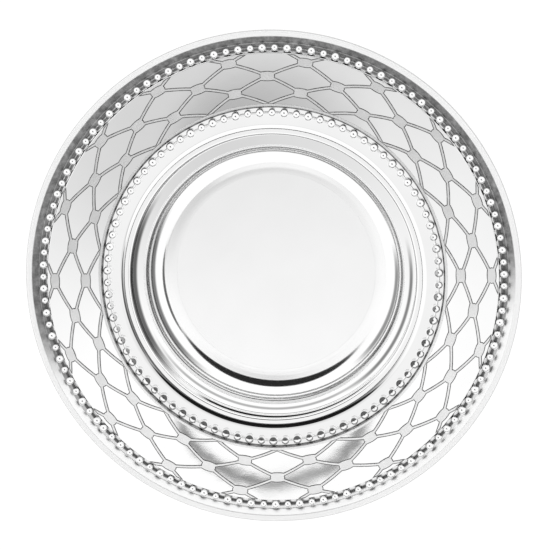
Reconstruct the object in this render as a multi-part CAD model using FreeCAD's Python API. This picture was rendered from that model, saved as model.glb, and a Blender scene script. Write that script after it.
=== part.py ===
import FreeCAD, Part
import math
import os

# Offering plate: a spun sheet rim with a satin lattice and two beaded wires, and
# a stepped well set into it. Lengths are in millimetres. The origin is the middle
# of the plane that the plate stands on, and +Z is up. Every radius is measured
# from the plate's axis, and heights in the sections are measured from the inner
# edge of the border, the wide polished ring under the lattice.

# Overall size
outer_radius = 127.0
border_height = 24.5        # inner edge of the border above the table

# Sheet and wire
rim_sheet = 1.0
collar_sheet = 0.8
bowl_sheet = 1.0
edge_wire_radius = 1.5

# Rim, from the hole for the well out to the lip
rim_hole_radius = 74.3
collar_seat_radius = 76.5   # the well's collar rests on a step inside this
collar_seat_z = -3.65       # at the edge of the hole
shoulder_edge_radius = 77.8
shoulder_edge_slope = 0.3   # how the shoulder falls to the step
shoulder_edge_rounding = 7.5
shoulder_z = -2.3           # under the middle of the inner beads
shoulder_slope = 0.02       # rise over run, going outwards
border_in_radius = 88.0
border_out_radius = 115.6
border_slope = 0.05         # rise over run, going outwards
channel_z = -1.7            # seat of the outer beads
channel_out_radius = 120.6
riser_lean = 0.3            # how far each step leans over its height
lip_crown_radius = 123.8
lip_crown_z = 0.15
lip_top_z = 0.35            # at the outer edge
lip_end_radius = 122.9      # where the rolled sheet ends, under the lip
edge_wire_z = -2.36

# Lattice of straps, with a flat pad at each crossing
lattice_repeats = 18
lattice_turn_deg = 1.1
lattice_thickness = 0.35
lattice_rounding = 0.1
lattice_out_radius = 115.2
strap_width = 1.35
opening_rounding = 0.4
pad_bulge = 0.3             # how far the sides of a pad bow out
# Rows of crossings from the middle of the plate outwards, every second row
# turned by half a repeat: radius, pad length round the plate, pad width.
# Rows with no pad are where straps run on under the border wire or the beads.
crossing_rows = [
    (82.6, 0.0, 0.0),
    (89.3, 0.0, 0.0),
    (96.1, 6.5, 4.3),
    (103.7, 6.9, 4.3),
    (111.8, 7.4, 4.0),
    (120.4, 0.0, 0.0),
    (129.6, 0.0, 0.0),
]
border_wire_in_radius = 88.5
border_wire_out_radius = 89.5
border_wire_thickness = 0.45
border_wire_rounding = 0.15

# Beaded wires, flat on their seats
bead_sink = 0.55            # seat below the bead's middle, as a share of its radius
neck_half_width = 0.6
neck_height = 0.55
outer_bead_ring_radius = 118.1
outer_bead_radii = (2.25, 1.95)   # large and small beads alternate
outer_bead_count = 119
outer_bead_pitch_deg = 3.03       # the last gap is shorter, where the ends meet
outer_bead_joint_deg = -138.1
inner_bead_ring_radius = 84.8
inner_bead_seat_z = -2.26         # the shoulder's height at the beads' outer side
inner_bead_radii = (2.4, 2.15)
inner_bead_count = 86
inner_bead_pitch_deg = 360.0 / inner_bead_count
inner_bead_start_deg = 2.0

# Well
mouth_out_radius = 76.4
mouth_rounding = 1.3
wall_top_radius = 73.4
wall_foot_radius = 73.0
wall_foot_rounding = 0.9
ledge_z = -10.2             # at the foot of the wall
ledge_slope = 0.037         # the ledge falls slightly towards the bowl
ledge_in_radius = 67.0
ledge_rounding = 1.0
skirt_end_z = -13.5
bowl_top_z = -10.9
bowl_top_radius = 66.0
bowl_wall_foot = (64.8, -17.9, 6.0)    # radius, height, rounding
bowl_floor_edge = (58.3, 18.0)         # radius, rounding
floor_z = -22.0              # middle of the floor
floor_bend_radius = 26.5
floor_slope = 0.02           # rise over run near the floor's edge

# Foot
foot_radius = 56.0
foot_width = 4.0
foot_rounding = 0.9

touching = 1e-6
axis = FreeCAD.Vector(0, 0, 1)
origin = FreeCAD.Vector(0, 0, 0)


def at(radius, z):
    """A point of the section plane, z being measured from the border's inner edge."""
    return FreeCAD.Vector(radius, 0, border_height + z)


def rounded_edges(corners):
    """Straight runs joined by tangent arcs; a corner is (radius, z, rounding)."""
    points = [at(radius, z) for radius, z, rounding in corners]
    edges = []
    here = points[0]
    for before, corner, after, values in zip(points, points[1:], points[2:], corners[1:]):
        rounding = values[2]
        back = (before - corner).normalize()
        ahead = (after - corner).normalize()
        half_turn = (math.pi - back.getAngle(ahead)) / 2
        reach = rounding * math.tan(half_turn)
        inward = (back + ahead).normalize()
        middle = corner + inward * (rounding / math.cos(half_turn) - rounding)
        start = corner + back * reach
        end = corner + ahead * reach
        if here.distanceToPoint(start) > touching:
            edges.append(Part.LineSegment(here, start).toShape())
        edges.append(Part.Arc(start, middle, end).toShape())
        here = end
    if here.distanceToPoint(points[-1]) > touching:
        edges.append(Part.LineSegment(here, points[-1]).toShape())
    return edges


def spin(face):
    return face.revolve(origin, axis, 360)


def sheet_section(edges, thickness):
    """Sheet on one side of a path: left of it, or right if thickness is negative."""
    return Part.Wire(edges).makeOffset2D(thickness, 0, True, True)


def ring_section(corners):
    """Section of a solid ring, given the corners it has."""
    edges = rounded_edges(corners)
    first = at(*corners[0][:2])
    last = at(*corners[-1][:2])
    edges.append(Part.LineSegment(last, first).toShape())
    return Part.Face(Part.Wire(edges))


def border_z(radius):
    """Height of the border's surface."""
    return (radius - border_in_radius) * border_slope


def border_corner(radius, rounding=0.0):
    return (radius, border_z(radius), rounding)


def shoulder_height(radius):
    return shoulder_z + (radius - inner_bead_ring_radius) * shoulder_slope


def collar_seat_height(radius):
    return collar_seat_z + (radius - rim_hole_radius) * shoulder_slope


def rim_flange():
    shoulder_edge_z = shoulder_height(shoulder_edge_radius)
    step_radius = collar_seat_radius + 0.1
    step_z = shoulder_edge_z - (shoulder_edge_radius - step_radius) * shoulder_edge_slope
    riser_radius = border_in_radius - riser_lean
    lip_foot_z = edge_wire_z - edge_wire_radius - rim_sheet
    edges = rounded_edges([
        (rim_hole_radius, collar_seat_z, 0),
        (collar_seat_radius, collar_seat_height(collar_seat_radius), 0.25),
        (step_radius, step_z, 0.25),
        (shoulder_edge_radius, shoulder_edge_z, shoulder_edge_rounding),
        (riser_radius, shoulder_height(riser_radius), 0.5),
        border_corner(border_in_radius, 0.4),
        border_corner(border_out_radius, 0.4),
        (border_out_radius + riser_lean, channel_z, 0.5),
        (channel_out_radius, channel_z, 1.5),
        (lip_crown_radius, lip_crown_z, 1.2),
        (outer_radius, lip_top_z, 1.1),
        (outer_radius, lip_foot_z, 2.3),
        (lip_end_radius, lip_foot_z, 0),
    ])
    return spin(sheet_section(edges, -rim_sheet))


def edge_wire():
    ring_radius = outer_radius - rim_sheet - edge_wire_radius
    middle = FreeCAD.Vector(0, 0, border_height + edge_wire_z)
    return Part.makeTorus(ring_radius, edge_wire_radius, middle)


def border_layer(radius_in, radius_out, thickness, rounding):
    """A flat ring that follows the border's surface, its upper edges eased."""
    return spin(ring_section([
        border_corner(radius_in),
        (radius_in, border_z(radius_in) + thickness, rounding),
        (radius_out, border_z(radius_out) + thickness, rounding),
        border_corner(radius_out),
    ]))


def meeting_point(point_a, along_a, point_b, along_b):
    """Where two lines in the XY plane cross."""
    gap = point_b - point_a
    share = gap.cross(along_b).z / along_a.cross(along_b).z
    return point_a + along_a * share


def lattice_opening(row, half_steps):
    """Prism of one opening, between the straps and pads of four crossings."""
    # The straps are straight when the border is unrolled: X then runs clockwise
    # round the plate along this row of openings, and Y is the radius.
    row_radius = crossing_rows[row][0]

    def crossing(at_row, steps):
        turn = math.radians(lattice_turn_deg + steps * 180.0 / lattice_repeats)
        return FreeCAD.Vector(-row_radius * turn, crossing_rows[at_row][0], 0)

    def rolled(point):
        turn = -point.x / row_radius
        return FreeCAD.Vector(point.y * math.cos(turn), point.y * math.sin(turn), 0)

    def bent_edge(start, bow, end):
        return Part.Arc(rolled(start), rolled(bow), rolled(end)).toShape()

    # Corners anticlockwise from the inner one, each with how far its pad reaches
    # towards the middle of the opening.
    corners = [
        (crossing(row - 1, half_steps), crossing_rows[row - 1][2] / 2),
        (crossing(row, half_steps - 1), crossing_rows[row][1] / 2),
        (crossing(row + 1, half_steps), crossing_rows[row + 1][2] / 2),
        (crossing(row, half_steps + 1), crossing_rows[row][1] / 2),
    ]
    middle = (corners[1][0] + corners[3][0]) * 0.5
    sides = []
    for index, (start, reach) in enumerate(corners):
        end = corners[(index + 1) % 4][0]
        along = (end - start).normalize()
        inward = axis.cross(along)
        sides.append((start + inward * (strap_width / 2), along))
    points = []
    for index, (node, reach) in enumerate(corners):
        before = sides[index - 1]
        after = sides[index]
        if reach == 0:
            points.append([meeting_point(*before, *after)])
            continue
        towards = (middle - node).normalize()
        face_point = node + towards * reach
        along_face = axis.cross(towards)
        first = meeting_point(*before, face_point, along_face)
        last = meeting_point(*after, face_point, along_face)
        bow = (first + last) * 0.5 + towards * pad_bulge
        points.append([first, bow, last])
    edges = []
    for index, corner_points in enumerate(points):
        if len(corner_points) == 3:
            edges.append(bent_edge(*corner_points))
        start = corner_points[-1]
        end = points[(index + 1) % 4][0]
        edges.append(bent_edge(start, (start + end) * 0.5, end))
    sharp = Part.Face(Part.Wire(edges))
    rounded = sharp.makeOffset2D(-opening_rounding).makeOffset2D(opening_rounding)
    return rounded.extrude(axis * (2 * border_height))


def lattice_overlay():
    ring = border_layer(
        border_wire_out_radius, lattice_out_radius, lattice_thickness, lattice_rounding
    )
    openings = []
    for row in range(1, len(crossing_rows) - 1):
        for repeat in range(lattice_repeats):
            half_steps = 2 * repeat + (row + 1) % 2
            openings.append(lattice_opening(row, half_steps))
    return ring.cut(openings)


def border_wire():
    return border_layer(
        border_wire_in_radius,
        border_wire_out_radius,
        border_wire_thickness,
        border_wire_rounding,
    )


def beaded_wire(ring_radius, seat_z, bead_radii, count, pitch_deg, start_deg):
    """Beads on a low neck, all cut flat where they lie on the rim."""
    neck_profile = [
        Part.Arc(
            at(ring_radius - neck_half_width, seat_z),
            at(ring_radius, seat_z + neck_height),
            at(ring_radius + neck_half_width, seat_z),
        ).toShape(),
        Part.LineSegment(
            at(ring_radius + neck_half_width, seat_z),
            at(ring_radius - neck_half_width, seat_z),
        ).toShape(),
    ]
    neck = spin(Part.Face(Part.Wire(neck_profile)))
    beads = []
    for index in range(count):
        bead_radius = bead_radii[index % 2]
        turn = math.radians(start_deg + index * pitch_deg)
        middle = FreeCAD.Vector(
            ring_radius * math.cos(turn),
            ring_radius * math.sin(turn),
            border_height + seat_z + bead_radius * bead_sink,
        )
        flat_deg = -math.degrees(math.asin(bead_sink))
        beads.append(Part.makeSphere(bead_radius, middle, axis, flat_deg, 90, 360))
    return neck.multiFuse(beads)


def outer_bead_wire():
    return beaded_wire(
        outer_bead_ring_radius,
        channel_z,
        outer_bead_radii,
        outer_bead_count,
        outer_bead_pitch_deg,
        outer_bead_joint_deg,
    )


def inner_bead_wire():
    return beaded_wire(
        inner_bead_ring_radius,
        inner_bead_seat_z,
        inner_bead_radii,
        inner_bead_count,
        inner_bead_pitch_deg,
        inner_bead_start_deg,
    )


def well_collar():
    """Flange resting on the rim's seat, upright wall, ledge and a short skirt."""
    sheet_height = collar_sheet * math.hypot(1, shoulder_slope)
    ledge_in_z = ledge_z - (wall_foot_radius - ledge_in_radius) * ledge_slope
    edges = rounded_edges([
        (mouth_out_radius, collar_seat_height(mouth_out_radius) + sheet_height, 0),
        (wall_top_radius, collar_seat_height(wall_top_radius) + sheet_height, mouth_rounding),
        (wall_foot_radius, ledge_z, wall_foot_rounding),
        (ledge_in_radius, ledge_in_z, ledge_rounding),
        (ledge_in_radius, skirt_end_z, 0),
    ])
    return spin(sheet_section(edges, collar_sheet))


def bowl_section():
    """Wall just inside the skirt, rounded foot and slightly dished floor."""
    floor_edge_radius, floor_edge_rounding = bowl_floor_edge
    floor_edge_z = floor_z + (floor_edge_radius - floor_bend_radius) * floor_slope
    floor_rounding = floor_bend_radius / math.tan(math.atan(floor_slope) / 2)
    edges = rounded_edges([
        (bowl_top_radius, bowl_top_z, 0),
        (bowl_top_radius, skirt_end_z, 2),
        bowl_wall_foot,
        (floor_edge_radius, floor_edge_z, floor_edge_rounding),
        (floor_bend_radius, floor_z, floor_rounding),
        (0, floor_z, 0),
    ])
    return sheet_section(edges, bowl_sheet)


def foot_ring():
    """Flat ring under the floor, its top fitted to the bowl's dished underside."""
    inner = foot_radius - foot_width / 2
    outer = foot_radius + foot_width / 2
    # The ring starts inside the sheet, and the bowl trims it to its underside.
    section = ring_section([
        (inner, floor_z + bowl_sheet / 2, 0),
        (inner, -border_height, foot_rounding),
        (outer, -border_height, foot_rounding),
        (outer, floor_z + bowl_sheet / 2, 0),
    ])
    return spin(section.cut(bowl_section()).Faces[0])


nodes = {
    "rim_flange": rim_flange(),
    "edge_wire": edge_wire(),
    "outer_bead_wire": outer_bead_wire(),
    "lattice_overlay": lattice_overlay(),
    "border_wire": border_wire(),
    "inner_bead_wire": inner_bead_wire(),
    "well_collar": well_collar(),
    "well_bowl": spin(bowl_section()),
    "foot_ring": foot_ring(),
}

os.makedirs("parts", exist_ok=True)
for name, shape in nodes.items():
    shape.exportStep("parts/" + name + ".step")
    box = shape.BoundBox
    print(name, shape.isValid(), len(shape.Solids), round(shape.Volume, 1),
          round(box.XMax, 2), round(box.ZMin, 2), round(box.ZMax, 2))
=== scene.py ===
import math
import random
from collections import namedtuple

import bpy
import numpy as np
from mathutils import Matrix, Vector
from mathutils.geometry import delaunay_2d_cdt


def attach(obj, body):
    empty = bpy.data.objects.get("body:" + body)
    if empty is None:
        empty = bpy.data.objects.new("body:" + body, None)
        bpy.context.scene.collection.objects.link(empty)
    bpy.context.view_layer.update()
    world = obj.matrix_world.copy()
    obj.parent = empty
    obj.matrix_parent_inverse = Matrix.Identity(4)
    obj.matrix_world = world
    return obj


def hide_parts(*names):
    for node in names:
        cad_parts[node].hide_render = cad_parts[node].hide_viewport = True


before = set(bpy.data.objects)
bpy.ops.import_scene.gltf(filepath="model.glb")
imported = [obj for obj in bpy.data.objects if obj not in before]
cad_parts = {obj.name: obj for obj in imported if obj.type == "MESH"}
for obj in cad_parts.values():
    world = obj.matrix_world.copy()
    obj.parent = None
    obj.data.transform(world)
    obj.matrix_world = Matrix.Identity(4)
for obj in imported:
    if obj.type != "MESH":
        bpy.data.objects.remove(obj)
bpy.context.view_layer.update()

# Looks of the offering plate. Lengths are millimetres until a mesh is made. Heights
# of sections are measured from the border's inner edge, as in the part's own
# sections, and that edge lies BORDER_HEIGHT above the table.

MM = 0.001
BORDER_HEIGHT = 24.5

# Rim, from the lip inwards.
RIM_SHEET = 1.0
OUTER_RADIUS = 127.0
LIP_TOP_Z = 0.35
LIP_UNDER_Z = -4.86
LIP_UNDER_IN = 122.9
LIP_CROWN = 123.8
LIP_CROWN_Z = 0.15
CHANNEL_OUT = 120.6
CHANNEL_Z = -1.7
BORDER_OUT = 115.6
BORDER_IN = 88.0
BORDER_SLOPE = 0.05
STEP_RUN = 0.3
SHOULDER_IN = 77.8
SHOULDER_Z = -2.3
SHOULDER_SLOPE = 0.02
RISER_OUT = 76.6
RISER_TOP_SLOPE = 0.3
SEAT_OUT = 76.5
SEAT_IN = 74.3
SEAT_Z = -3.65

# Collar: mouth, wall, ledge and skirt.
COLLAR_SHEET = 0.8
COLLAR_OUT = 76.4
MOUTH_RADIUS = 73.4
LEDGE_OUT = 73.0
LEDGE_OUT_Z = -10.2
LEDGE_IN = 67.0
LEDGE_IN_Z = -10.42
SKIRT_END_Z = -13.5

# Bowl and foot.
BOWL_SHEET = 1.0
BOWL_OUT = 66.0
BOWL_TOP_Z = -10.9
BOWL_SIDE = (64.8, -17.9)
TURN_UP_OUT = 60.4
TURN_UP_SLOPE = 0.05
TURN_UP_IN = 53.0
FLOOR_BEND = 26.5
FLOOR_SLOPE = 0.02
FLOOR_Z = -22.0
FOOT_IN = 54.0
FOOT_OUT = 58.0
FOOT_TOP_Z = -22.3

# Flat wire round the inner ends of the lattice.
BORDER_WIRE_IN = 88.5
BORDER_WIRE_OUT = 89.5
BORDER_WIRE_HEIGHT = 0.45

# Beaded wires. Spreads are the random differences between one bead and the next.
INNER_BEADS_RADIUS = 84.8
INNER_SEAT_Z = -2.26
OUTER_BEADS_RADIUS = 118.1
BEAD_SINK = 0.55
NECK_HALF_WIDTH = 0.6
NECK_HEIGHT = 0.55
NECK_STEPS = 8
SIZE_SPREAD = (0.975, 1.0)
TURN_SPREAD_DEG = 0.06
PLACE_SPREAD = 0.05

# Lattice. Each row of crossings has its radius, and its pads' length round the
# plate and across it; rows without pads lie past its edges and only steer the
# straps. OPENING_REACH is further than any opening reaches from its middle.
LATTICE_REPEATS = 18
LATTICE_TURN = math.radians(1.1)
LATTICE_IN = 89.5
LATTICE_OUT = 115.2
LATTICE_THICKNESS = 0.35
LATTICE_BEVEL = 0.22
LATTICE_FLARE = 0.2
LATTICE_FOOT = 0.02
LATTICE_SINK = 0.01
STRAP_WIDTH = 1.35
OPENING_ROUNDING = 0.4
OPENING_REACH = 18
PAD_ROUNDING = 0.25
PAD_BULGE = 0.3
PAD_FACE_STEPS = 4
CROSSING_ROWS = [
    (82.6, 0.0, 0.0),
    (89.3, 0.0, 0.0),
    (96.1, 6.5, 4.3),
    (103.7, 6.9, 4.3),
    (111.8, 7.4, 4.0),
    (120.4, 0.0, 0.0),
    (129.6, 0.0, 0.0),
]

# Fineness of the meshes.
SEGMENTS = 480
ARC_STEP_DEG = 7
LONGEST_RUN = 3.5
SHARPEST = 0.12
OUTLINE_STEP = 1.2
CIRCLE_STEP = 1.0
SHORTEST_END = 0.6
SHORTEST_EDGE = 0.09
MITRE_LIMIT = 0.35
MERGE_DISTANCE = 1e-7
rng = random.Random(11)


# ---------------------------------------------------------------- sections

def unit(vector):
    length = math.hypot(*vector)
    return (vector[0] / length, vector[1] / length)


def run_normal(start, end):
    """Normal to the right of a straight run."""
    x, y = unit((end[0] - start[0], end[1] - start[1]))
    return (y, -x)


def round_corner(before, corner, after, rounding):
    """Points of the tangent arc that replaces a corner, each with its right normal."""
    back = unit((before[0] - corner[0], before[1] - corner[1]))
    ahead = unit((after[0] - corner[0], after[1] - corner[1]))
    cosine = max(-1.0, min(1.0, back[0] * ahead[0] + back[1] * ahead[1]))
    half_turn = (math.pi - math.acos(cosine)) / 2
    if rounding <= 0 or half_turn < 1e-4:
        return [(corner, run_normal(before, after))]
    reach = rounding * math.tan(half_turn)
    middle = unit((back[0] + ahead[0], back[1] + ahead[1]))
    gap = rounding / math.cos(half_turn)
    centre = (corner[0] + middle[0] * gap, corner[1] + middle[1] * gap)
    start = (corner[0] + back[0] * reach, corner[1] + back[1] * reach)
    first = math.atan2(start[1] - centre[1], start[0] - centre[0])
    turn_sign = 1 if back[0] * ahead[1] - back[1] * ahead[0] < 0 else -1
    steps = max(2, math.ceil(math.degrees(2 * half_turn) / ARC_STEP_DEG),
                math.ceil(2 * reach / LONGEST_RUN))
    points = []
    for step in range(steps + 1):
        angle = first + turn_sign * 2 * half_turn * step / steps
        cosine, sine = math.cos(angle), math.sin(angle)
        point = (centre[0] + rounding * cosine, centre[1] + rounding * sine)
        points.append((point, (turn_sign * cosine, turn_sign * sine)))
    return points


def shifted_path(corners, thickness):
    """Corners of the same path shifted to its left, with roundings to suit."""
    shifted = []
    for index, (radius, z, rounding) in enumerate(corners):
        here = (radius, z)
        before = corners[max(index - 1, 0)][:2]
        after = corners[min(index + 1, len(corners) - 1)][:2]
        ax, az = run_normal(before, here) if index > 0 else run_normal(here, after)
        bx, bz = run_normal(here, after) if here != after else (ax, az)
        share = -thickness / (1 + ax * bx + az * bz)
        turns_left = ax * bz - az * bx > 0
        rounding = max(SHARPEST, rounding - thickness * (1 if turns_left else -1))
        shifted.append((radius + (ax + bx) * share, z + (az + bz) * share, rounding))
    return shifted


def sheet_section(corners, thickness, edge_rounding=0.2):
    """Corners of the closed section of a sheet with one face on a path.

    The sheet lies to the path's left, or to its right if the thickness is negative.
    """
    path = [list(corner) for corner in corners]
    other = [list(corner) for corner in shifted_path(corners, thickness)]
    for line in (path, other):
        line[0][2] = edge_rounding
        line[-1][2] = edge_rounding
    if corners[-1][0] == 0:
        other[-1][0] = 0
    return other[::-1] + path


def section_points(corners, open_path=False):
    """Rounded outline with its normals, long straight runs divided.

    An open path starts and ends on the axis, where its normal is vertical.
    """
    count = len(corners)
    outline = []
    for index, (radius, z, rounding) in enumerate(corners):
        here = (radius, z)
        if open_path and index in (0, count - 1):
            outline.append((here, (0.0, math.copysign(1.0, index - 0.5))))
            continue
        before = corners[index - 1][:2]
        after = corners[(index + 1) % count][:2]
        outline.extend(round_corner(before, here, after, rounding))
    points = []
    total = len(outline)
    for index, (start, normal) in enumerate(outline):
        if points and math.dist(points[-1][0], start) < 1e-4:
            continue
        points.append((start, normal))
        if open_path and index == total - 1:
            break
        end = outline[(index + 1) % total][0]
        pieces = math.ceil(math.dist(start, end) / LONGEST_RUN)
        for piece in range(1, pieces):
            share = piece / pieces
            point = (start[0] + (end[0] - start[0]) * share,
                     start[1] + (end[1] - start[1]) * share)
            points.append((point, run_normal(start, end)))
    if not open_path and math.dist(points[0][0], points[-1][0]) < 1e-4:
        points.pop()
    return anticlockwise(points)


def anticlockwise(points):
    """The same loop, turned round if needed so that its normals point outwards."""
    if signed_area([point for point, normal in points]) > 0:
        return points
    return [(point, (-normal[0], -normal[1])) for point, normal in reversed(points)]


def signed_area(points):
    area = 0.0
    for (ax, ay), (bx, by) in zip(points, points[1:] + points[:1]):
        area += ax * by - bx * ay
    return area / 2


# ---------------------------------------------------------------- meshes

def make_object(name, vertices, faces, materials, face_materials=None, smooth=True):
    mesh = bpy.data.meshes.new(name)
    mesh.from_pydata(vertices, [], faces)
    for material in materials:
        mesh.materials.append(material)
    if face_materials is not None:
        mesh.polygons.foreach_set("material_index", face_materials)
    mesh.polygons.foreach_set("use_smooth", [smooth] * len(mesh.polygons))
    mesh.update()
    thing = bpy.data.objects.new(name, mesh)
    bpy.context.scene.collection.objects.link(thing)
    return thing


def lathe_mesh(points, open_path):
    """Vertices, faces and vertex normals of an anticlockwise section spun round Z."""
    turns = [2 * math.pi * step / SEGMENTS for step in range(SEGMENTS)]
    rows = []
    vertices = []
    normals = []
    for (radius, z), (across, upwards) in points:
        height = (BORDER_HEIGHT + z) * MM
        if radius == 0:
            rows.append([len(vertices)] * SEGMENTS)
            vertices.append((0.0, 0.0, height))
            normals.append((0.0, 0.0, upwards))
            continue
        rows.append(list(range(len(vertices), len(vertices) + SEGMENTS)))
        for turn in turns:
            x, y = math.cos(turn), math.sin(turn)
            vertices.append((radius * MM * x, radius * MM * y, height))
            normals.append((across * x, across * y, upwards))
    faces = []
    pairs = list(zip(rows, rows[1:]))
    if not open_path:
        pairs.append((rows[-1], rows[0]))
    for low, high in pairs:
        for step in range(SEGMENTS):
            following = (step + 1) % SEGMENTS
            if low[0] == low[1]:
                faces.append((low[step], high[following], high[step]))
            elif high[0] == high[1]:
                faces.append((low[step], low[following], high[step]))
            else:
                faces.append((low[step], low[following], high[following], high[step]))
    return vertices, faces, normals


def spun_piece(name, corners, material, open_path=False):
    points = section_points(corners, open_path)
    vertices, faces, normals = lathe_mesh(points, open_path)
    thing = make_object(name, vertices, faces, [material])
    thing.data.normals_split_custom_set_from_vertices(normals)
    return thing


# ---------------------------------------------------------------- node helper

class Net:
    """Short ways to add nodes; a value may be a number or another node's output."""

    def __init__(self, tree):
        self.tree = tree
        tree.nodes.clear()

    def node(self, kind, **settings):
        made = self.tree.nodes.new(kind)
        for key, value in settings.items():
            setattr(made, key, value)
        return made

    def put(self, value, socket):
        if isinstance(value, bpy.types.NodeSocket):
            self.tree.links.new(value, socket)
        else:
            socket.default_value = value

    def math(self, operation, a, b=0.0):
        made = self.node("ShaderNodeMath", operation=operation)
        self.put(a, made.inputs[0])
        self.put(b, made.inputs[1])
        return made.outputs[0]

    def times(self, a, b):
        return self.math("MULTIPLY", a, b)

    def plus(self, value, mask, amount):
        """A value with an amount added as far as a mask goes."""
        return self.math("ADD", value, self.times(mask, amount))

    def split(self, vector):
        made = self.node("ShaderNodeSeparateXYZ")
        self.put(vector, made.inputs[0])
        return tuple(made.outputs)

    def join(self, x, y, z):
        made = self.node("ShaderNodeCombineXYZ")
        for socket, value in zip(made.inputs, (x, y, z)):
            self.put(value, socket)
        return made.outputs[0]

    def ramp(self, value, start, end, low=0.0, high=1.0):
        """Smooth step of a value between two limits."""
        made = self.node("ShaderNodeMapRange", interpolation_type="SMOOTHSTEP")
        self.put(value, made.inputs["Value"])
        made.inputs["From Min"].default_value = start
        made.inputs["From Max"].default_value = end
        made.inputs["To Min"].default_value = low
        made.inputs["To Max"].default_value = high
        return made.outputs["Result"]

    def noise(self, coordinates, scale, detail=2.0, roughness=0.5):
        made = self.node("ShaderNodeTexNoise")
        self.put(coordinates, made.inputs["Vector"])
        made.inputs["Scale"].default_value = scale
        made.inputs["Detail"].default_value = detail
        made.inputs["Roughness"].default_value = roughness
        return made.outputs["Fac"]

    def bump(self, height, distance, normal=None):
        """Normal bumped by a height between 0 and 1, over a distance in metres."""
        made = self.node("ShaderNodeBump")
        made.inputs["Strength"].default_value = 1.0
        made.inputs["Distance"].default_value = distance
        self.put(height, made.inputs["Height"])
        if normal is not None:
            self.put(normal, made.inputs["Normal"])
        return made.outputs["Normal"]

    def grey(self, value, tint=(1.0, 1.0, 1.0)):
        made = self.node("ShaderNodeCombineColor")
        for channel, share in enumerate(tint):
            self.put(self.times(value, share), made.inputs[channel])
        return made.outputs[0]

    def principled(self, **sockets):
        made = self.node("ShaderNodeBsdfPrincipled")
        for key, value in sockets.items():
            self.put(value, made.inputs[key.replace("_", " ")])
        out = self.node("ShaderNodeOutputMaterial")
        self.put(made.outputs[0], out.inputs["Surface"])


def new_material(name):
    material = bpy.data.materials.new(name)
    material.use_nodes = True
    return material, Net(material.node_tree)


def object_coordinates(net):
    """Object coordinates in millimetres."""
    made = net.node("ShaderNodeTexCoord")
    scaled = net.node("ShaderNodeVectorMath", operation="SCALE")
    net.put(made.outputs["Object"], scaled.inputs[0])
    scaled.inputs["Scale"].default_value = 1 / MM
    return scaled.outputs[0]


def polar_coordinates(net, position):
    """Radius, angle round the plate and height of a position."""
    x, y, z = net.split(position)
    radius = net.math("SQRT", net.math("ADD", net.times(x, x), net.times(y, y)))
    return radius, net.math("ARCTAN2", y, x), z


# ---------------------------------------------------------------- materials

# Zones by radius: where each starts and ends, and how softly.
LIP_SLOPE_ZONE = (120.4, 123.9, 0.25)
CHANNEL_ZONE = (116.5, 120.5, 0.4)
UNDER_BEADS_ZONE = (117.2, 119.1, 0.35)
STEP_ZONE = (87.3, 88.35, 0.15)
UNPOLISHED_ZONE = (116.3, 124.6, 0.3)

# Radii between which a change sets in.
WORN_LIP_SETS_IN = (123.8, 124.4)
LIP_EDGE_SETS_IN = (126.5, 126.85)

# Direction of the far side of the plate, seen from above.
FAR_DIRECTION = (-0.17, 0.985)

# Share of an arc's reach within which it is at its full strength.
FULL_ARC = 0.45

# Arcs painted dark, in place of reflections that the studio doesn't give: the
# direction of the middle and the reach to either side in degrees, the zone, and
# the depth of the tone.
Arc = namedtuple("Arc", "middle reach zone depth")
COLLAR_ARCS = (
    Arc(90, 175, (73.1, 73.7, 0.15), 0.75),
    Arc(186, 44, (70.9, 73.3, 0.7), 0.85),
    Arc(-22, 40, (69.6, 71.2, 0.5), 0.75),
    Arc(262, 60, (69.2, 70.4, 0.4), 0.55),
)
BOWL_ARCS = (
    Arc(90, 179, (65.3, 66.4, 0.15), 0.6),
    Arc(192, 48, (62.4, 64.6, 0.6), 0.8),
    Arc(-18, 34, (61.6, 63.4, 0.5), 0.7),
)
RIM_ARCS = (
    Arc(257, 80, (76.6, 78.6, 1.4), 0.5),
    Arc(250, 100, (76.5, 77.3, 0.3), 0.8),
)

# Painted shade on the underside of the beads: the heights above the seat between which
# it ends, and how much higher it reaches on the near side.
OUTER_BEAD_SHADE = {"dark_below": 0.5, "bright_above": 1.2, "near_shade": 1.0}
INNER_BEAD_SHADE = {"dark_below": -1.2, "bright_above": 0.1, "near_shade": 0.0}
SHADE_RAGGEDNESS = 0.5
# Painted dark reflection on the inner beads' tops: the radius it lies inside, its soft edge,
# and the heights over which it sets in.
INNER_BEAD_REFLECTION_OUT = 85.1
REFLECTION_EDGE = 0.35
REFLECTION_HEIGHTS = (2.35, 2.75)


def along_direction(net, position, radius, direction):
    """Cosine of the angle between a position and a direction, seen from above."""
    x, y, _ = net.split(position)
    along = net.math("ADD", net.times(x, direction[0]), net.times(y, direction[1]))
    return net.math("DIVIDE", along, radius)


def far_side(net, position, radius, low, high):
    """Mask that rises from the near side of the plate to the far side, placing painted shade
    and reflections.
    """
    return net.ramp(along_direction(net, position, radius, FAR_DIRECTION), low, high)


def band_mask(net, value, low, high, soft):
    rise = net.ramp(value, low - soft, low + soft)
    return net.times(rise, net.ramp(value, high + soft, high - soft))


def arc_mask(net, position, radius, arc):
    """Mask of an arc, which tapers to nothing at its reach."""
    middle = math.radians(arc.middle)
    reach = math.radians(arc.reach)
    share = along_direction(net, position, radius, (math.cos(middle), math.sin(middle)))
    taper = net.ramp(share, math.cos(reach), math.cos(reach * FULL_ARC))
    return net.times(taper, band_mask(net, radius, *arc.zone))


def spun_lines(net, position, across, around, roughness):
    """Noise drawn out round the plate, as spinning and drawing leave it."""
    radius, angle, z = polar_coordinates(net, position)
    drawn_out = net.join(net.times(radius, across), net.times(angle, around),
                         net.times(z, across))
    return net.noise(drawn_out, scale=1.0, detail=3.0, roughness=roughness)


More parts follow.
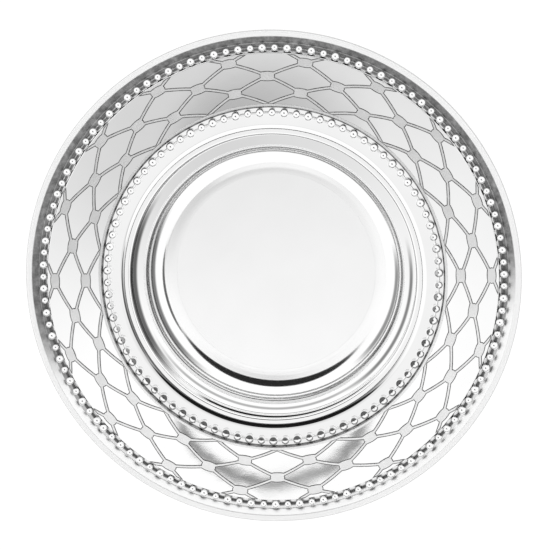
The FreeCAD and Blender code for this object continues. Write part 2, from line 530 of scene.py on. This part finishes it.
def rim_shade_and_tarnish(net, position, radius):
    """Painted shade and tarnish in the channel, at the border's inner step and on the lip's
    slope.

    They are unbroken only under the beads and at the step. Elsewhere the mark is a painted
    reflection, dark on the far side and fading out on the near side of the plate.
    """
    patches = net.noise(position, scale=0.28, detail=4.0, roughness=0.65)
    # Painted reflection of dark surroundings on the lip's slope and in the channel, on the
    # far side.
    slope = net.times(band_mask(net, radius, *LIP_SLOPE_ZONE),
                      far_side(net, position, radius, low=-0.36, high=0.0))
    channel = net.times(band_mask(net, radius, *CHANNEL_ZONE),
                        far_side(net, position, radius, low=-0.75, high=-0.1))
    # Painted shade with tarnish under the beads and at the border's step.
    under_beads = net.times(band_mask(net, radius, *UNDER_BEADS_ZONE), 0.9)
    step = net.times(band_mask(net, radius, *STEP_ZONE), 0.95)
    shade_and_deposit = slope
    for mask in (channel, under_beads, step):
        shade_and_deposit = net.math("MAXIMUM", shade_and_deposit, mask)
    return net.times(shade_and_deposit, net.ramp(patches, 0.2, 0.75, low=0.72, high=1.0))


def mirror_material(name, haze=0.0, rim_wear_and_shade=False, arcs=()):
    """Polished silver plate with spun waviness and fine polishing scratches, and any painted
    dark arcs and rim shade.
    """
    material, net = new_material(name)
    position = object_coordinates(net)
    radius = polar_coordinates(net, position)[0]
    smudge = net.noise(position, scale=0.03, detail=4.0, roughness=0.6)
    tone = net.ramp(smudge, 0.25, 0.85, low=0.965, high=0.94)
    roughness = net.ramp(smudge, 0.35, 0.8, low=0.012 + haze, high=0.026 + haze)
    metal = 1.0
    if rim_wear_and_shade:
        # Rim: painted shade and reflection with tarnish in its recesses and on the far side,
        # and the lip matt and darker towards its outer edge.
        tarnish_and_shade = rim_shade_and_tarnish(net, position, radius)
        unpolished = band_mask(net, radius, *UNPOLISHED_ZONE)
        worn_lip = net.ramp(radius, *WORN_LIP_SETS_IN)
        tone = net.plus(tone, tarnish_and_shade, -0.80)
        tone = net.times(tone, net.ramp(radius, *LIP_EDGE_SETS_IN, low=1.0, high=0.6))
        for mask, rougher in ((tarnish_and_shade, 0.15), (unpolished, 0.3), (worn_lip, 0.25)):
            roughness = net.plus(roughness, mask, rougher)
        metal = net.plus(metal, worn_lip, -0.92)
    # Painted dark arcs, standing in for reflections of dark surroundings.
    for arc in arcs:
        kept_tone = net.plus(1.0, arc_mask(net, position, radius, arc), -arc.depth)
        tone = net.times(tone, kept_tone)
    waves = net.noise(position, scale=0.055, detail=2.0)
    grain = net.noise(position, scale=1.1, detail=3.0, roughness=0.65)
    scratches = spun_lines(net, position, across=9.0, around=14.0, roughness=0.7)
    normal = net.bump(waves, distance=6.0e-6)
    normal = net.bump(grain, distance=3.5e-7, normal=normal)
    normal = net.bump(scratches, distance=1.2e-7, normal=normal)
    net.principled(Base_Color=net.grey(tone), Metallic=metal, Roughness=roughness,
                   Normal=normal)
    return material


def bead_material(name, seat_z, dark_below, bright_above, near_shade, dark_reflection_from=0.0):
    """Bright bead silver, with painted shade and tarnish where a bead meets its seat.

    The painted shade reaches higher on the near side of the plate. Given a radius, the
    top of each bead inside it carries a painted dark reflection on the near side.
    """
    material, net = new_material(name)
    position = object_coordinates(net)
    radius, _, z = polar_coordinates(net, position)
    above_seat = net.math("SUBTRACT", z, BORDER_HEIGHT + seat_z)
    patchy = net.noise(position, scale=1.3, detail=3.0, roughness=0.6)
    # Painted shade low on each bead, reaching higher on the near side of the plate.
    near = net.math("SUBTRACT", 1.0, far_side(net, position, radius, low=-0.55, high=0.35))
    level = net.plus(above_seat, patchy, SHADE_RAGGEDNESS)
    level = net.plus(level, near, -near_shade)
    shine = net.ramp(level, dark_below, bright_above)
    # Painted dark reflection on the top of each bead, on the near side.
    if dark_reflection_from:
        edge_of_reflection = net.plus(radius, patchy, SHADE_RAGGEDNESS)
        painted_reflection = net.times(net.ramp(edge_of_reflection, dark_reflection_from, dark_reflection_from - REFLECTION_EDGE),
                          net.ramp(above_seat, *REFLECTION_HEIGHTS))
        shine = net.times(shine, net.plus(1.0, net.times(painted_reflection, near), -1.0))
    tone = net.plus(0.12, shine, 0.83)
    roughness = net.plus(0.30, shine, -0.25)
    pits = net.noise(position, scale=2.2, detail=3.0, roughness=0.6)
    normal = net.bump(pits, distance=3.0e-6)
    net.principled(Base_Color=net.grey(tone), Metallic=1.0, Roughness=roughness,
                   Normal=normal)
    return material


def satin_material():
    """Matt chased silver, finely grained, darkened by painted shade on the far side."""
    material, net = new_material("satin_silver")
    position = object_coordinates(net)
    radius = polar_coordinates(net, position)[0]
    # Painted shade, deepening towards the far side of the plate.
    far_shade = far_side(net, position, radius, low=-0.7, high=0.6)
    cloud = net.noise(position, scale=0.12, detail=3.0, roughness=0.55)
    grain = net.noise(position, scale=5.0, detail=3.0, roughness=0.7)
    tone = net.plus(net.ramp(cloud, 0.3, 0.75, low=0.88, high=0.95), far_shade, -0.20)
    metal = net.plus(0.2, far_shade, 0.7)
    roughness = net.ramp(grain, 0.3, 0.7, low=0.30, high=0.42)
    normal = net.bump(grain, distance=6.0e-6)
    net.principled(Base_Color=net.grey(tone), Metallic=metal, Roughness=roughness,
                   Normal=normal)
    return material


def edge_shade_material():
    """Steep sides of the lattice, painted dark as shade, with some tarnish."""
    material, net = new_material("painted_shade_edge")
    position = object_coordinates(net)
    blotches = net.noise(position, scale=0.35, detail=3.0, roughness=0.6)
    # Painted shade on the lattice sides, deeper or lighter in blotches.
    tone = net.ramp(blotches, 0.3, 0.72, low=0.05, high=0.22)
    roughness = net.ramp(blotches, 0.3, 0.7, low=0.5, high=0.35)
    normal = net.bump(net.noise(position, scale=4.0, detail=2.0), distance=8.0e-6)
    net.principled(Base_Color=net.grey(tone), Metallic=1.0, Roughness=roughness,
                   Normal=normal)
    return material


def wire_material():
    """Drawn wire, with fine lines running round the plate."""
    material, net = new_material("drawn_wire")
    position = object_coordinates(net)
    drawn = spun_lines(net, position, across=8.0, around=6.0, roughness=0.6)
    tone = net.ramp(drawn, 0.3, 0.7, low=0.45, high=0.65)
    roughness = net.ramp(drawn, 0.3, 0.7, low=0.25, high=0.4)
    normal = net.bump(drawn, distance=4.0e-6)
    warm_grey = net.grey(tone, tint=(1.0, 0.985, 0.965))
    net.principled(Base_Color=warm_grey, Metallic=1.0, Roughness=roughness,
                   Normal=normal)
    return material


# ---------------------------------------------------------------- spun pieces

# A corner of a section is its radius, its height and the rounding that it gets.

def border_z(radius):
    return (radius - BORDER_IN) * BORDER_SLOPE


def shoulder_z(radius):
    return SHOULDER_Z + (radius - INNER_BEADS_RADIUS) * SHOULDER_SLOPE


def collar_seat_z(radius):
    """Height of the step in the rim that the collar rests on."""
    return SEAT_Z + (radius - SEAT_IN) * SHOULDER_SLOPE


def rim_corners():
    riser_top_z = shoulder_z(SHOULDER_IN) - (SHOULDER_IN - RISER_OUT) * RISER_TOP_SLOPE
    return [
        (SEAT_IN, collar_seat_z(SEAT_IN), 0),
        (SEAT_OUT, collar_seat_z(SEAT_OUT), 0.25),
        (RISER_OUT, riser_top_z, 0.25),
        (SHOULDER_IN, shoulder_z(SHOULDER_IN), 7.5),
        (BORDER_IN - STEP_RUN, shoulder_z(BORDER_IN - STEP_RUN), 0.5),
        (BORDER_IN, 0, 0.4),
        (BORDER_OUT, border_z(BORDER_OUT), 0.4),
        (BORDER_OUT + STEP_RUN, CHANNEL_Z, 0.5),
        (CHANNEL_OUT, CHANNEL_Z, 1.5),
        (LIP_CROWN, LIP_CROWN_Z, 1.2),
        (OUTER_RADIUS, LIP_TOP_Z, 1.1),
        (OUTER_RADIUS, LIP_UNDER_Z, 2.3),
        (LIP_UNDER_IN, LIP_UNDER_Z, 0),
    ]


def collar_corners():
    return [
        (COLLAR_OUT, collar_seat_z(COLLAR_OUT) + COLLAR_SHEET, 0),
        (MOUTH_RADIUS, collar_seat_z(MOUTH_RADIUS) + COLLAR_SHEET, 1.3),
        (LEDGE_OUT, LEDGE_OUT_Z, 0.7),
        (LEDGE_IN, LEDGE_IN_Z, 0.45),
        (LEDGE_IN, SKIRT_END_Z, 0),
    ]


def bowl_corners():
    """The floor turns up in two steps, with a long soft rounding at the first."""
    turn_up_z = FLOOR_Z + (TURN_UP_IN - FLOOR_BEND) * FLOOR_SLOPE
    turn_up_out_z = turn_up_z + (TURN_UP_OUT - TURN_UP_IN) * TURN_UP_SLOPE
    dish_rounding = FLOOR_BEND / math.tan(math.atan(FLOOR_SLOPE) / 2) * 0.999
    return [
        (BOWL_OUT, BOWL_TOP_Z, 0),
        (BOWL_OUT, SKIRT_END_Z, 2),
        (*BOWL_SIDE, 6),
        (TURN_UP_OUT, turn_up_out_z, 12),
        (TURN_UP_IN, turn_up_z, 120),
        (FLOOR_BEND, FLOOR_Z, dish_rounding),
        (0, FLOOR_Z, 0),
    ]


def foot_corners():
    return [
        (FOOT_IN, FOOT_TOP_Z, SHARPEST),
        (FOOT_IN, -BORDER_HEIGHT, 0.9),
        (FOOT_OUT, -BORDER_HEIGHT, 0.9),
        (FOOT_OUT, FOOT_TOP_Z, SHARPEST),
    ]


def border_wire_corners():
    inner_z = border_z(BORDER_WIRE_IN)
    outer_z = border_z(BORDER_WIRE_OUT)
    return [
        (BORDER_WIRE_IN, inner_z, SHARPEST / 2),
        (BORDER_WIRE_IN, inner_z + BORDER_WIRE_HEIGHT, 0.15),
        (BORDER_WIRE_OUT, outer_z + BORDER_WIRE_HEIGHT, 0.15),
        (BORDER_WIRE_OUT, outer_z, SHARPEST / 2),
    ]


# ---------------------------------------------------------------- beads

def bead_cap(radius, sides=32, rows=13):
    """Sphere cut flat below its middle, as (vertices, faces) about its middle."""
    vertices = [(0.0, 0.0, radius)]
    lowest = math.pi / 2 + math.asin(BEAD_SINK)
    for row in range(1, rows + 1):
        tilt = lowest * row / rows
        for side in range(sides):
            turn = 2 * math.pi * side / sides
            vertices.append((
                radius * math.sin(tilt) * math.cos(turn),
                radius * math.sin(tilt) * math.sin(turn),
                radius * math.cos(tilt),
            ))
    faces = [(0, 1 + side, 1 + (side + 1) % sides) for side in range(sides)]
    for row in range(rows - 1):
        top = 1 + row * sides
        low = top + sides
        for side in range(sides):
            following = (side + 1) % sides
            faces.append((top + side, low + side, low + following, top + following))
    bottom = 1 + (rows - 1) * sides
    faces.append(tuple(bottom + side for side in reversed(range(sides))))
    return vertices, faces


def beaded_wire(name, material, ring_radius, seat_z, radii, count, pitch_deg, start_deg):
    """Beads of two sizes by turns on a low neck that joins them."""
    neck = []
    for step in range(NECK_STEPS + 1):
        turn = math.pi * step / NECK_STEPS
        normal = (math.cos(turn), math.sin(turn))
        point = (ring_radius + NECK_HALF_WIDTH * normal[0], seat_z + NECK_HEIGHT * normal[1])
        neck.append((point, normal))
    vertices, faces, _ = lathe_mesh(neck, open_path=False)
    for index in range(count):
        radius = radii[index % 2] * rng.uniform(*SIZE_SPREAD)
        turn_deg = start_deg + index * pitch_deg
        turn = math.radians(turn_deg + rng.uniform(-TURN_SPREAD_DEG, TURN_SPREAD_DEG))
        reach = ring_radius + rng.uniform(-PLACE_SPREAD, PLACE_SPREAD)
        centre_z = BORDER_HEIGHT + seat_z + radius * BEAD_SINK
        cap, cap_faces = bead_cap(radius)
        base = len(vertices)
        for x, y, z in cap:
            vertices.append((
                (reach * math.cos(turn) + x) * MM,
                (reach * math.sin(turn) + y) * MM,
                (centre_z + z) * MM,
            ))
        faces.extend(tuple(base + corner for corner in face) for face in cap_faces)
    return make_object(name, vertices, faces, [material])


# ---------------------------------------------------------------- lattice

def left_of(vector):
    return Vector((-vector.y, vector.x))


def meeting_point(point_a, along_a, point_b, along_b):
    gap = point_b - point_a
    share = gap.cross(along_b) / along_a.cross(along_b)
    return point_a + along_a * share


def opening_corners(row, half_steps):
    """Sharp outline of one opening, drawn with the border unrolled along its row.

    X runs clockwise round the plate and Y is the radius. Each corner has the
    rounding that it gets.
    """
    row_radius = CROSSING_ROWS[row][0]

    def crossing(at_row, steps):
        turn = LATTICE_TURN + steps * math.pi / LATTICE_REPEATS
        return Vector((-row_radius * turn, CROSSING_ROWS[at_row][0]))

    corners = [
        (crossing(row - 1, half_steps), CROSSING_ROWS[row - 1][2] / 2),
        (crossing(row, half_steps - 1), CROSSING_ROWS[row][1] / 2),
        (crossing(row + 1, half_steps), CROSSING_ROWS[row + 1][2] / 2),
        (crossing(row, half_steps + 1), CROSSING_ROWS[row][1] / 2),
    ]
    middle = (corners[1][0] + corners[3][0]) * 0.5
    sides = []
    for index, (start, _) in enumerate(corners):
        along = (corners[(index + 1) % 4][0] - start).normalized()
        sides.append((start + left_of(along) * (STRAP_WIDTH / 2), along))
    sharp = []
    for index, (node, reach) in enumerate(corners):
        before = sides[index - 1]
        after = sides[index]
        if reach == 0:
            sharp.append((*meeting_point(*before, *after), OPENING_ROUNDING))
            continue
        towards = (middle - node).normalized()
        face_point = node + towards * reach
        along_face = left_of(towards)
        first = meeting_point(*before, face_point, along_face)
        last = meeting_point(*after, face_point, along_face)
        pole = (first + last) * 0.5 + towards * (2 * PAD_BULGE)
        for step in range(PAD_FACE_STEPS + 1):
            share = step / PAD_FACE_STEPS
            point = (first * (1 - share) ** 2 + pole * (2 * share * (1 - share))
                     + last * share ** 2)
            sharp.append((*point, PAD_ROUNDING if step in (0, PAD_FACE_STEPS) else 0))
    return sharp, row_radius


def opening_outline(row, half_steps):
    """Anticlockwise outline of one opening of the lattice, in plan."""
    sharp, row_radius = opening_corners(row, half_steps)
    flat = []
    for index, (x, y, rounding) in enumerate(sharp):
        before = sharp[index - 1][:2]
        after = sharp[(index + 1) % len(sharp)][:2]
        flat.extend(point for point, normal in round_corner(before, (x, y), after, rounding))
    outline = []
    for index, start in enumerate(flat):
        end = flat[(index + 1) % len(flat)]
        pieces = max(1, math.ceil(math.dist(start, end) / OUTLINE_STEP))
        for piece in range(pieces):
            share = piece / pieces
            turn = -(start[0] + (end[0] - start[0]) * share) / row_radius
            radius = start[1] + (end[1] - start[1]) * share
            outline.append((radius * math.cos(turn), radius * math.sin(turn)))
    return outline


def crossing_point(a, b, radius):
    """Where the run from a to b passes a circle round the axis."""
    ra = math.hypot(*a)
    rb = math.hypot(*b)
    share = (radius - ra) / (rb - ra)
    return (a[0] + (b[0] - a[0]) * share, a[1] + (b[1] - a[1]) * share)


def notch_part(outline, radius, keep_outside):
    """The run of an outline that lies on one side of a circle, ends on the circle."""
    def kept(point):
        return (math.hypot(*point) > radius) == keep_outside

    count = len(outline)
    first = next(i for i in range(count) if kept(outline[i]) and not kept(outline[i - 1]))
    run = [crossing_point(outline[first - 1], outline[first], radius)]
    index = first
    while kept(outline[index % count]):
        run.append(outline[index % count])
        index += 1
    run.append(crossing_point(outline[(index - 1) % count], outline[index % count], radius))
    # A very short last piece would fold over when the edge is bevelled.
    for near, end in ((1, 0), (-2, -1)):
        if math.dist(run[near], run[end]) < SHORTEST_END:
            del run[near]
    return run


def notched_circle(radius, notches, keep_outside):
    """Closed anticlockwise circle with a notch where each run leaves it."""
    runs = []
    for outline in notches:
        run = notch_part(outline, radius, keep_outside)
        start_turn = math.atan2(run[0][1], run[0][0])
        end_turn = math.atan2(run[-1][1], run[-1][0])
        if (end_turn - start_turn) % (2 * math.pi) > math.pi:
            run.reverse()
        runs.append(run)
    runs.sort(key=lambda run: math.atan2(run[0][1], run[0][0]) % (2 * math.pi))
    loop = []
    for index, run in enumerate(runs):
        loop.extend(run)
        following = runs[(index + 1) % len(runs)]
        start = math.atan2(run[-1][1], run[-1][0])
        span = (math.atan2(following[0][1], following[0][0]) - start) % (2 * math.pi)
        pieces = max(1, math.ceil(span * radius / CIRCLE_STEP))
        for piece in range(1, pieces):
            turn = start + span * piece / pieces
            loop.append((radius * math.cos(turn), radius * math.sin(turn)))
    return loop


def thinned(loop):
    """The loop without points that lie very near the one before."""
    kept = []
    for point in loop:
        if not kept or math.dist(kept[-1], point) > SHORTEST_EDGE:
            kept.append(point)
    if math.dist(kept[0], kept[-1]) <= SHORTEST_EDGE:
        kept.pop()
    return kept


def shift_loop(loop, distance):
    """The loop moved to its left by a distance, with mitred corners."""
    moved = []
    count = len(loop)
    for index in range(count):
        ax, ay = loop[index - 1]
        bx, by = loop[index]
        cx, cy = loop[(index + 1) % count]
        ux, uy = unit((bx - ax, by - ay))
        vx, vy = unit((cx - bx, cy - by))
        share = distance / max(MITRE_LIMIT, 1 + ux * vx + uy * vy)
        moved.append((bx - (uy + vy) * share, by + (ux + vx) * share))
    return moved


def inside(point, loop):
    """Whether a point lies inside a closed loop."""
    x, y = point
    result = False
    for (ax, ay), (bx, by) in zip(loop, loop[1:] + loop[:1]):
        if (ay > y) != (by > y) and x < (bx - ax) * (y - ay) / (by - ay) + ax:
            result = not result
    return result


def lattice_loops():
    """Outer edge, inner edge and openings, each with the metal on its left."""
    rows = {row: [] for row in range(1, len(CROSSING_ROWS) - 1)}
    for row in rows:
        for repeat in range(LATTICE_REPEATS):
            rows[row].append(opening_outline(row, 2 * repeat + (row + 1) % 2))
    last_row = max(rows)
    cut_by_edge = rows[last_row - 1] + rows[last_row]
    outer = notched_circle(LATTICE_OUT, cut_by_edge, keep_outside=False)
    inner = notched_circle(LATTICE_IN, rows[1], keep_outside=True)
    loops = [thinned(outer), thinned(inner)[::-1]]
    for row in range(2, last_row - 1):
        loops.extend(thinned(outline)[::-1] for outline in rows[row])
    return loops


def top_triangles(tops):
    """Triangles that fill the top between its loops, numbered along all the loops."""
    edges = []
    start = 0
    for loop in tops:
        count = len(loop)
        edges.extend((start + index, start + (index + 1) % count) for index in range(count))
        start += count
    flat = [Vector(point) for loop in tops for point in loop]
    found = delaunay_2d_cdt(flat, edges, [], 0, MERGE_DISTANCE)
    points, triangles, origins = found[0], found[2], found[3]
    outer, inner, *openings = tops
    holes = [(loop, np.mean(loop, axis=0)) for loop in openings]
    kept = []
    for triangle in triangles:
        middle = sum((points[corner] for corner in triangle), Vector((0, 0))) / 3
        if not inside(middle, outer) or inside(middle, inner):
            continue
        if any(math.dist(middle, centre) < OPENING_REACH and inside(middle, loop)
               for loop, centre in holes):
            continue
        kept.append(tuple(origins[corner][0] for corner in triangle))
    return kept


def build_lattice(satin, edge):
    """Satin straps with a bevelled edge, and sides, painted dark as shade, that flare at the
    foot.
    """
    loops = lattice_loops()
    tops = [shift_loop(loop, LATTICE_BEVEL) for loop in loops]
    feet = [shift_loop(loop, -LATTICE_FLARE) for loop in loops]
    levels = [
        (tops, LATTICE_THICKNESS),
        (loops, LATTICE_THICKNESS - LATTICE_BEVEL),
        (feet, LATTICE_FOOT),
        (loops, -LATTICE_SINK),
    ]
    vertices = []
    for outlines, height in levels:
        for x, y in (point for outline in outlines for point in outline):
            z = BORDER_HEIGHT + border_z(math.hypot(x, y)) + height
            vertices.append((x * MM, y * MM, z * MM))
    total = sum(len(loop) for loop in loops)
    top = top_triangles(tops)
    faces = list(top)
    for upper in range(0, total * (len(levels) - 1), total):
        lower = upper + total
        first = 0
        for loop in loops:
            for index in range(len(loop)):
                a = first + index
                b = first + (index + 1) % len(loop)
                faces.append((upper + b, upper + a, lower + a, lower + b))
            first += len(loop)
    bottom = total * (len(levels) - 1)
    for triangle in top:
        faces.append(tuple(bottom + corner for corner in reversed(triangle)))
    kinds = [0] * len(top) + [1] * (len(faces) - len(top))
    return make_object("lattice_look", vertices, faces, [satin, edge], kinds, smooth=False)


# ---------------------------------------------------------------- surroundings

# Dark things that the polished silver mirrors. Each lies where the parts of the unit
# direction towards it are between two limits, and its edges fade over the third
# number, or lies in an ellipse with a middle and half-widths.
TENT_LIGHT = 1.06
PANEL_DEPTH = 0.58
PANEL_Y_FADES = ((-0.125, -0.194, 0.6), (-0.194, -0.209, 0.4))
PANEL_Y_END = (-0.2155, -0.2105)
PANEL_X = (-0.12, 0.14, 0.07)
SLOT_X = (-0.112, -0.048, 0.006)
SLOT_Y = (-0.1078, -0.1048, 0.001)
SLOT_DEPTH = 0.75
OPENING_MIDDLE = (-0.05, 0.205)
OPENING_HALF = (0.30, 0.295)
OPENING_DEPTH = 0.98
DOORWAY_MIDDLE = (0.23, -0.09)
DOORWAY_HALF = (0.11, 0.14)
DOORWAY_DEPTH = 0.88
TABLE_EDGE_Z_FADE = (0.34, 0.22)
TABLE_EDGE_Y_FADE = (-0.3, -0.7)
TABLE_EDGE_DEPTH = 0.90
OVERHEAD_Z_FADE = (0.0, 0.05)

# Table top and camera, in metres; the lens and sensor are in millimetres.
FLOOR_HALF = 0.9
FLOOR_DIFFUSE = 0.06
CAMERA_LEAN = math.radians(9.94)
CAMERA_BEARING = math.radians(62.7)
CAMERA_DISTANCE = 2.032
CAMERA_RIGHT = 0.00123
CAMERA_UP = 0.00153
CAMERA_LENS = 260.4
CAMERA_SENSOR = 36


def studio_world():
    """White tent with a few dark gaps for the polished metal to reflect.

    The camera itself sees plain white behind the plate.
    """
    world = bpy.data.worlds.new("studio")
    bpy.context.scene.world = world
    world.use_nodes = True
    net = Net(world.node_tree)
    x, y, z = net.split(net.node("ShaderNodeTexCoord").outputs["Generated"])

    def away(middle, half):
        """Squared distance from an ellipse's middle, 1 on the ellipse."""
        squares = []
        for value, centre, width in zip((x, y), middle, half):
            share = net.math("DIVIDE", net.math("SUBTRACT", value, centre), width)
            squares.append(net.times(share, share))
        return net.math("ADD", *squares)

    overhead = net.ramp(z, *OVERHEAD_Z_FADE)
    # Soft grey panel that deepens away from the camera and ends in a clean edge.
    deepening = net.math("ADD", *(
        net.times(net.ramp(y, start, end), share) for start, end, share in PANEL_Y_FADES))
    panel = net.times(net.times(deepening, net.ramp(y, *PANEL_Y_END)),
                      band_mask(net, x, *PANEL_X))
    # Narrow dark slot between two panels.
    slot = net.times(band_mask(net, y, *SLOT_Y), band_mask(net, x, *SLOT_X))
    # Opening that the camera looks through.
    opening = net.ramp(away(OPENING_MIDDLE, OPENING_HALF), 1.0, 0.75)
    # Dark doorway to the right of it.
    doorway = net.ramp(away(DOORWAY_MIDDLE, DOORWAY_HALF), 1.1, 0.6)
    # Dark table edge low on the near side.
    table_edge = net.times(net.ramp(z, *TABLE_EDGE_Z_FADE), net.ramp(y, *TABLE_EDGE_Y_FADE))
    level = net.plus(1.0, panel, -PANEL_DEPTH)
    for mask, depth in ((slot, SLOT_DEPTH), (opening, OPENING_DEPTH),
                        (doorway, DOORWAY_DEPTH), (table_edge, TABLE_EDGE_DEPTH)):
        level = net.times(level, net.plus(1.0, net.times(mask, overhead), -depth))
    tent = net.node("ShaderNodeBackground")
    net.put(net.grey(net.times(level, TENT_LIGHT)), tent.inputs["Color"])
    plain = net.node("ShaderNodeBackground")
    plain.inputs["Color"].default_value = (1, 1, 1, 1)
    path = net.node("ShaderNodeLightPath")
    mix = net.node("ShaderNodeMixShader")
    net.put(path.outputs["Is Camera Ray"], mix.inputs[0])
    net.put(tent.outputs[0], mix.inputs[1])
    net.put(plain.outputs[0], mix.inputs[2])
    out = net.node("ShaderNodeOutputWorld")
    net.put(mix.outputs[0], out.inputs["Surface"])


def studio_floor():
    """Bright, nearly shadowless table top."""
    material, net = new_material("pale_table")
    diffuse = net.node("ShaderNodeBsdfDiffuse")
    diffuse.inputs["Color"].default_value = (FLOOR_DIFFUSE, FLOOR_DIFFUSE, FLOOR_DIFFUSE, 1)
    glow = net.node("ShaderNodeEmission")
    glow.inputs["Color"].default_value = (1, 1, 1, 1)
    glow.inputs["Strength"].default_value = 1.0
    both = net.node("ShaderNodeAddShader")
    net.put(diffuse.outputs[0], both.inputs[0])
    net.put(glow.outputs[0], both.inputs[1])
    out = net.node("ShaderNodeOutputMaterial")
    net.put(both.outputs[0], out.inputs["Surface"])
    half = FLOOR_HALF
    vertices = [(-half, -half, 0), (half, -half, 0), (half, half, 0), (-half, half, 0)]
    table = make_object("table_top", vertices, [(0, 1, 2, 3)], [material], smooth=False)


def place_camera():
    """Almost overhead, leaning a little to the far side."""
    towards = Vector((math.sin(CAMERA_LEAN) * math.cos(CAMERA_BEARING),
                      math.sin(CAMERA_LEAN) * math.sin(CAMERA_BEARING),
                      math.cos(CAMERA_LEAN)))
    turn = Vector((0, 0, 1)).rotation_difference(towards)
    right = turn @ Vector((1, 0, 0))
    up = turn @ Vector((0, 1, 0))
    border_middle = Vector((0, 0, BORDER_HEIGHT * MM))
    aim = border_middle + right * CAMERA_RIGHT + up * CAMERA_UP
    data = bpy.data.cameras.new("camera")
    data.lens = CAMERA_LENS
    data.sensor_width = CAMERA_SENSOR
    data.clip_end = 20
    camera = bpy.data.objects.new("camera", data)
    camera.location = aim + towards * CAMERA_DISTANCE
    camera.rotation_mode = "QUATERNION"
    camera.rotation_quaternion = turn
    bpy.context.scene.collection.objects.link(camera)
    bpy.context.scene.camera = camera


# ---------------------------------------------------------------- assembly

mirror = mirror_material("polished_silver")
collar_mirror = mirror_material("polished_collar_silver", arcs=COLLAR_ARCS)
bowl_mirror = mirror_material("polished_bowl_silver", haze=0.07, arcs=BOWL_ARCS)
rim_mirror = mirror_material("polished_rim_silver", rim_wear_and_shade=True, arcs=RIM_ARCS)
outer_bead_silver = bead_material("bead_silver_outer", CHANNEL_Z, **OUTER_BEAD_SHADE)
inner_bead_silver = bead_material("bead_silver_inner", INNER_SEAT_Z, **INNER_BEAD_SHADE,
                                  dark_reflection_from=INNER_BEAD_REFLECTION_OUT)
satin = satin_material()
edge = edge_shade_material()
wire = wire_material()

rim = sheet_section(rim_corners(), -RIM_SHEET)
collar = sheet_section(collar_corners(), COLLAR_SHEET, SHARPEST)
bowl = sheet_section(bowl_corners(), BOWL_SHEET, SHARPEST)
pieces = {
    "rim_flange": (spun_piece("rim_look", rim, rim_mirror), "silver_mirror"),
    "well_collar": (spun_piece("collar_look", collar, collar_mirror), "silver_mirror"),
    "well_bowl": (spun_piece("bowl_look", bowl, bowl_mirror, open_path=True),
                  "silver_mirror"),
    "foot_ring": (spun_piece("foot_look", foot_corners(), mirror), "silver_mirror"),
    "border_wire": (spun_piece("border_wire_look", border_wire_corners(), satin),
                    "silver_satin"),
    "lattice_overlay": (build_lattice(satin, edge), "silver_satin"),
    "outer_bead_wire": (beaded_wire("outer_beads_look", outer_bead_silver,
                                    ring_radius=OUTER_BEADS_RADIUS, seat_z=CHANNEL_Z,
                                    radii=(2.25, 1.95), count=119, pitch_deg=3.03,
                                    start_deg=-138.1), "silver_bead"),
    "inner_bead_wire": (beaded_wire("inner_beads_look", inner_bead_silver,
                                    ring_radius=INNER_BEADS_RADIUS, seat_z=INNER_SEAT_Z,
                                    radii=(2.4, 2.15), count=86, pitch_deg=360 / 86,
                                    start_deg=2.0), "silver_bead"),
}
for node, (piece, slot) in pieces.items():
    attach(piece, "root")
    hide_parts(node)

for material_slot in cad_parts["edge_wire"].material_slots:
    material_slot.material = wire

studio_world()
studio_floor()
place_camera()
bpy.context.scene.view_settings.view_transform = "Standard"
